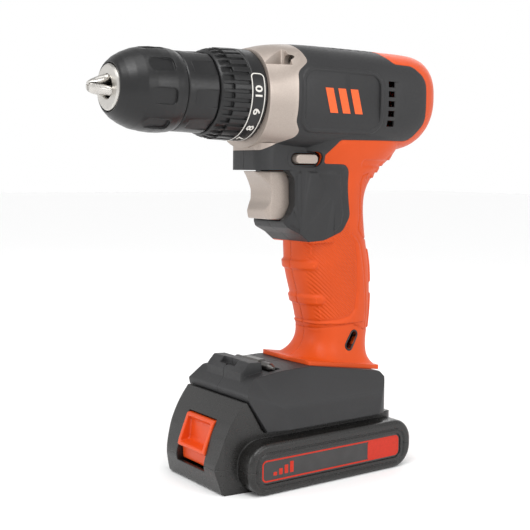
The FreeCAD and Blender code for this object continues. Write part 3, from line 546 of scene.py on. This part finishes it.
def grip_relief(points, normals):
    x, y, z = points.T
    rear = np.interp(z, spans[0], spans[2])
    below = 1 - smooth_step(z, 124, 130)
    height = np.zeros(len(x))
    field = outline_distance(FIELD, x, z)
    to_rear = line_distance(BAND_REAR, x, z)
    height += groove(field, 0.9, 0.32) * below
    inside_band = (field > 0) & (x > np.interp(z, [73.8, 88.8, 105.5, 119.9, 126.4],
                                               [-55.2, -55.4, -53.0, -50.2, -43.5])) & (z > 77.5) & (z < 127)
    rise = smooth_step(np.minimum(field, to_rear), 0.3, 1.8)
    height += 0.55 * rise * inside_band
    height += groove(line_distance(BAND_REAR, x, z), 0.7, 0.25)
    height += groove(line_distance(LOWER_GROOVE, x, z), 0.7, 0.4)
    height += groove(line_distance(UPPER_GROOVE, x, z), 0.8, 0.45)
    for centre, half, end in FINGER_RIDGES:
        ridge = box_distance(x, z, end, 12.0, centre - half, centre + half, 2.2)
        height += 1.15 * (1 - smooth_step(ridge, -0.9, 0.7))
    for low, high in REAR_PADS:
        pad = np.maximum(np.maximum(low - z, z - high), x - rear - 5.0)
        height += 0.65 * (1 - smooth_step(pad, -0.6, 0.3))
    step = np.zeros(len(x))
    for low, high in zip(REAR_STEPS[:-1], REAR_STEPS[1:]):
        inside = (z >= low) & (z < high)
        step = np.where(inside, smooth_step(z, low, low + 0.9) * (high - z) / (high - low), step)
    height += 1.1 * step * smooth_step(rear + 12 - x, 0, 3)
    slot = box_distance(x, z, *RIB_SLOT, 2.3)
    height += -0.55 * (1 - smooth_step(slot, -0.9, 0.1))
    seam = smooth_step(np.abs(y), 0.1, 0.5)
    return height * grip_outside(points, normals) * (0.35 + 0.65 * seam)


def grip_marks(points, normals):
    """Where the moulded diagonal texture lies."""
    x, z = points[:, 0], points[:, 2]
    rear = np.interp(z, spans[0], spans[2])
    field = 1 - smooth_step(outline_distance(FIELD, x, z), -1.4, -0.7)
    for centre, half, end in FINGER_RIDGES:
        field *= smooth_step(box_distance(x, z, end, 12.0, centre - half, centre + half, 2.2), 0.2, 1.0)
    upper = (z > 127) & (z < 157) & (x < -51) & (x < rear + 14)
    sideways = smooth_step(np.abs(normals[:, 1]), 0.35, 0.6)
    return np.where(upper, 0.8, field * sideways) * grip_outside(points, normals)


# ------------------------------------------------------------ cover and battery relief

PANEL = [(-5.4, 158.2), (-7.6, 159.2), (-29.0, 159.3), (-31.8, 158.6), (-33.0, 156.2), (-34.6, 150),
         (-36.6, 137.0), (-35.8, 131.4), (-31.5, 127.0), (-24.0, 126.0), (-14.5, 125.2), (-8.0, 127.6),
         (-2.6, 131.0), (-4.4, 136.0), (-5.4, 141.0), (-5.6, 152.0)]
BADGE = (-50.0, -2.0, 180.8, 208.8)


def cover_zone(points):
    x, y, z = points.T
    panel = (np.abs(outline_distance(PANEL, x, z)) < 3.0) & (np.abs(y) > 12)
    ring = (np.abs(box_distance(x, z, *BADGE, 6.0) - 1.3) < 3.0) & (np.abs(y) > 24)
    return panel | ring


def cover_relief(points, normals):
    x, y, z = points.T
    outer = smooth_step(normals[:, 1] * np.sign(y), 0.35, 0.6)
    panel = 1 - smooth_step(outline_distance(PANEL, x, z), -1.5, 0.1)
    ring = box_distance(x, z, *BADGE, 6.0)
    edge = smooth_step(ring, 0.0, 0.6) * (1 - smooth_step(ring, 1.7, 2.5))
    height = 0.9 * panel * (z < 163) + 0.6 * edge * (z > 175)
    return height * outer


LABEL = (-62.6, 29.8, 5.8, 19.0)


def battery_zone(points):
    x, y, z = points.T
    ring = box_distance(x, z, *LABEL, 4.0)
    return (np.abs(y) > 36.2) & (ring > 0.2) & (ring < 4.5)


def battery_relief(points, normals):
    x, y, z = points.T
    outer = smooth_step(normals[:, 1] * np.sign(y), 0.6, 0.9)
    ring = box_distance(x, z, *LABEL, 4.0)
    return groove(ring - 2.3, 1.0, 0.45) * outer * (np.abs(y) > 36)


# ------------------------------------------------------------ small pieces

def rounded_ring(x0, x1, z0, z1, radius, steps=8):
    """Points round a rectangle with rounded corners, in the side view."""
    found = []
    for cx, cz, start in ((x1 - radius, z1 - radius, 0), (x0 + radius, z1 - radius, 90),
                          (x0 + radius, z0 + radius, 180), (x1 - radius, z0 + radius, 270)):
        for i in range(steps + 1):
            angle = math.radians(start + 90 * i / steps)
            found.append((cx + radius * math.cos(angle), cz + radius * math.sin(angle)))
    return found


def prism(name, outline, y_low, y_high, material, hole=None):
    """Plate lying in the side view, with an optional hole of as many points as its outline."""
    count = len(outline)
    levels = [(y_low, outline), (y_high, outline)]
    if hole:
        levels += [(y_high, hole), (y_low, hole)]
    points = [(x, y, z) for y, ring in levels for x, z in ring]
    faces = []
    total = len(levels)
    for level in range(total if hole else total - 1):
        for i in range(count):
            j = (i + 1) % count
            a, b = level * count, ((level + 1) % total) * count
            faces.append((a + i, b + i, b + j, a + j))
    if not hole:
        faces.append(tuple(range(count)))
        faces.append(tuple(reversed(range(count, 2 * count))))
    return new_object(name, points, faces, material)


def tidy_normals(piece):
    bm = bmesh.new()
    bm.from_mesh(piece.data)
    bmesh.ops.recalc_face_normals(bm, faces=bm.faces)
    bm.to_mesh(piece.data)
    bm.free()
    return piece


def paint_material(name, code, rough=0.45):
    """Thin pad-printed paint, slightly uneven."""
    m = Maker(name)
    base = np.array(srgb(code))
    lighter = tuple(np.minimum(base * 1.05, 1))
    m.feed("Base Color", m.mix(m.ramp(m.noise(900.0, 2.0), 0, 1), tuple(base * 0.92), lighter))
    m.feed("Roughness", m.ramp(m.noise(1500.0), rough - 0.05, rough + 0.08))
    m.feed("Normal", m.bump(m.noise(3000.0), 0.2, 0.00002))
    m.set("Specular IOR Level", 0.3)
    return m.material


NUMERAL_X = 22.9
NUMERAL_STEP = 24.0
NUMERAL_SIZE = 5.6
NUMERAL_STRETCH = 1.2
COLLAR_RADIUS = 22.9


def wrap_on_collar(flat, faces, angle, name, material, lift=0.1):
    """Bends flat artwork (along the collar, along the axis) round the collar at an angle."""
    points = []
    for depth in (-0.25, lift):
        r = COLLAR_RADIUS + depth
        for u, v in flat:
            a = math.radians(angle) - u / COLLAR_RADIUS
            points.append((NUMERAL_X + v, r * math.sin(a), 197.0 + r * math.cos(a)))
    count = len(flat)
    edges = {}
    made = []
    for face in faces:
        made.append(tuple(i + count for i in face))
        made.append(tuple(reversed(face)))
        for i, j in zip(face, face[1:] + face[:1]):
            edges[(i, j)] = True
    for i, j in edges:
        if (j, i) not in edges:
            made.append((i, j, j + count, i + count))
    return tidy_normals(new_object(name, points, made, material))


def text_art(words):
    """Filled outline of a number, centred, with its height along the drill axis."""
    curve = bpy.data.curves.new("number_text", "FONT")
    curve.body = words
    curve.size = NUMERAL_SIZE
    curve.align_x = "CENTER"
    curve.resolution_u = 6
    curve.offset = 0.12
    holder = bpy.data.objects.new("number_text", curve)
    bpy.context.scene.collection.objects.link(holder)
    bpy.context.view_layer.update()
    mesh = bpy.data.meshes.new_from_object(holder)
    bm = bmesh.new()
    bm.from_mesh(mesh)
    bmesh.ops.triangulate(bm, faces=bm.faces)
    bmesh.ops.subdivide_edges(bm, edges=[e for e in bm.edges if e.calc_length() > 0.5], cuts=1)
    bmesh.ops.triangulate(bm, faces=bm.faces)
    flat = [(v.co.x * NUMERAL_STRETCH, v.co.y - NUMERAL_SIZE * 0.36) for v in bm.verts]
    faces = [[v.index for v in f.verts] for f in bm.faces]
    bm.free()
    bpy.data.objects.remove(holder)
    return flat, faces


def make_numerals(paint):
    for number in range(1, 11):
        flat, faces = text_art(str(number))
        angle = 90.0 + NUMERAL_STEP * (10 - number)
        piece = wrap_on_collar(flat, faces, angle, "collar_number_%d" % number, paint)
        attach(piece, "torque_ring")
    start, end = 66.0, 324.0
    middle = (start + end) / 2
    half = math.radians(end - start) / 2 * COLLAR_RADIUS
    outer = strip_outline(-half, half, 3.9, 2.4)
    inner = strip_outline(-half + 0.55, half - 0.55, 3.35, 1.9)
    count = len(outer)
    faces = [[i, (i + 1) % count, count + (i + 1) % count, count + i] for i in range(count)]
    piece = wrap_on_collar(outer + inner, faces, middle, "collar_number_outline", paint, 0.08)
    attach(piece, "torque_ring")


def strip_outline(u0, u1, half, radius):
    found = []
    for x, z in rounded_ring(u0, u1, -half, half, radius):
        if found and math.hypot(x - found[-1][0], z - found[-1][1]) > 2:
            px, pz = found[-1]
            steps = int(math.hypot(x - px, z - pz) / 0.8)
            found += [(px + (x - px) * i / steps, pz + (z - pz) * i / steps) for i in range(1, steps)]
        found.append((x, z))
    px, pz = found[-1]
    x, z = found[0]
    steps = max(1, int(math.hypot(x - px, z - pz) / 0.8))
    found += [(px + (x - px) * i / steps, pz + (z - pz) * i / steps) for i in range(1, steps)]
    return found


def make_badge(paint):
    """Three slanted bars in the middle of the side panel, a generic mark."""
    low, high, lean, width, pitch = 188.6, 201.0, 3.4, 5.0, 8.2
    for side, side_name in ((1, "left"), (-1, "right")):
        for i in (-1, 0, 1):
            x = -26.0 + pitch * i
            outline = [(x - width / 2 - lean / 2, low), (x + width / 2 - lean / 2, low),
                       (x + width / 2 + lean / 2, high), (x - width / 2 + lean / 2, high)]
            piece = prism("badge_bar_%s_%d" % (side_name, i + 2), outline, side * 29.0, side * 29.3, paint)
            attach(tidy_normals(piece), "handle")


def make_labels(red):
    """Printed frame and filled end block on each battery label."""
    for side, side_name in ((1, "left"), (-1, "right")):
        y0, y1 = side * 36.8, side * 36.99
        outer = rounded_ring(-61.6, 28.8, 6.9, 17.9, 2.6)
        inner = rounded_ring(-60.8, 28.0, 7.7, 17.1, 1.9)
        frame_piece = prism("label_frame_" + side_name, outer, y0, y1, red, inner)
        end_outline = rounded_ring(-61.2, -39.6, 7.3, 17.5, 1.6)
        block = prism("label_block_" + side_name, end_outline, y0, side * 36.97, red)
        for piece in (frame_piece, block):
            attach(tidy_normals(piece), "battery")
        for i in range(4):
            x = 22.0 - 3.4 * i
            outline = rounded_ring(x - 2.2, x, 9.6, 11.4 + 1.3 * i, 0.4)
            bar = prism("label_level_%s_%d" % (side_name, i + 1), outline, y0, y1, red)
            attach(tidy_normals(bar), "battery")


def make_slot_rims(dark):
    """Dark rim round the slanted opening low on each side of the grip."""
    for side, side_name in ((1, "left"), (-1, "right")):
        tree = BVHTree.FromPolygons(*surface_of(side_name + "_housing_shell"))
        rings = []
        for grow, lift in ((0.0, -3.4), (0.0, 0.12), (0.25, 0.28), (0.75, 0.28), (0.95, 0.0), (0.95, -0.5)):
            ring = []
            for u, v in rounded_ring(-5.2 - grow, 5.2 + grow, -1.9 - grow, 1.9 + grow, 1.8 + grow):
                a = math.radians(57)
                x = -44.2 + u * math.cos(a) + v * math.sin(a)
                z = 68.2 - u * math.sin(a) + v * math.cos(a)
                ring.append((x, z))
            rings.append((ring, lift))
        outer_ring = rings[-1][0]
        points = []
        for ring, lift in rings:
            for (x, z), (ox, oz) in zip(ring, outer_ring):
                start = Vector((ox, side * 60, oz))
                hit = tree.ray_cast(start, Vector((0, -side, 0)))
                points.append((x, hit[0].y + side * lift, z))
        count = len(outer_ring)
        faces = []
        for a in range(len(rings) - 1):
            for i in range(count):
                j = (i + 1) % count
                faces.append((a * count + i, a * count + j, (a + 1) * count + j, (a + 1) * count + i))
        piece = new_object("grip_slot_rim_" + side_name, points, faces, dark)
        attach(tidy_normals(piece), "handle")


def surface_of(node):
    points, corners = node_arrays(node)
    return [Vector(p) for p in points], [tuple(int(i) for i in c) for c in corners]


def rounded_copy(node, voxel, rounds, name):
    """Copy of a CAD node with its edges rounded by remeshing and smoothing, replacing it."""
    points, corners = node_arrays(node)
    piece = new_object(name, points, corners, nodes[node].data.materials[0], 180)
    remesh = piece.modifiers.new("remesh", "REMESH")
    remesh.mode = "VOXEL"
    remesh.voxel_size = voxel * MM
    remesh.use_smooth_shade = True
    smooth = piece.modifiers.new("smooth", "SMOOTH")
    smooth.factor = 0.5
    smooth.iterations = rounds
    bpy.context.view_layer.update()
    mesh = bpy.data.meshes.new_from_object(piece.evaluated_get(bpy.context.evaluated_depsgraph_get()))
    piece.modifiers.clear()
    piece.data = mesh
    mesh.name = name
    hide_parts(node)
    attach(piece, nodes[node]["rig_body"])
    return piece


def pressed_spring(node):
    """Copy of a spring with a mesh of its own, replacing it."""
    points, corners = node_arrays(node)
    piece = new_object(node + "_coil", points, corners, nodes[node].data.materials[0])
    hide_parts(node)
    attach(piece, nodes[node]["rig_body"])
    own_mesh(piece)
    return piece


make_camera()
make_world()
make_lights()
make_floor()
slots = node_slots()
for packed in list(bpy.data.materials):
    packed.name = "packed_" + packed.name
materials = make_materials()
finish_nodes(materials, slots)
spans = handle_spans()
for side_name in ("left", "right"):
    reshape(side_name + "_housing_shell", 0.7, grip_zone, grip_relief, grip_marks)
    reshape(side_name + "_side_cover", 0.6, cover_zone, cover_relief)
for part_name in ("battery_lower_shell", "battery_upper_shell"):
    reshape(part_name, 0.6, battery_zone, battery_relief)
rounded_copy("trigger", 0.4, 6, "trigger_rounded")
rounded_copy("release_button", 0.35, 6, "release_button_rounded")
pressed_spring("trigger_spring")
pressed_spring("button_spring")
number_paint = paint_material("number_paint", "D9D6D0")
orange_paint = paint_material("orange_paint", "E8602C")
red_paint = paint_material("red_paint", "BB2812", 0.4)
make_numerals(number_paint)
make_badge(orange_paint)
make_labels(red_paint)
make_slot_rims(materials["black_plastic"])
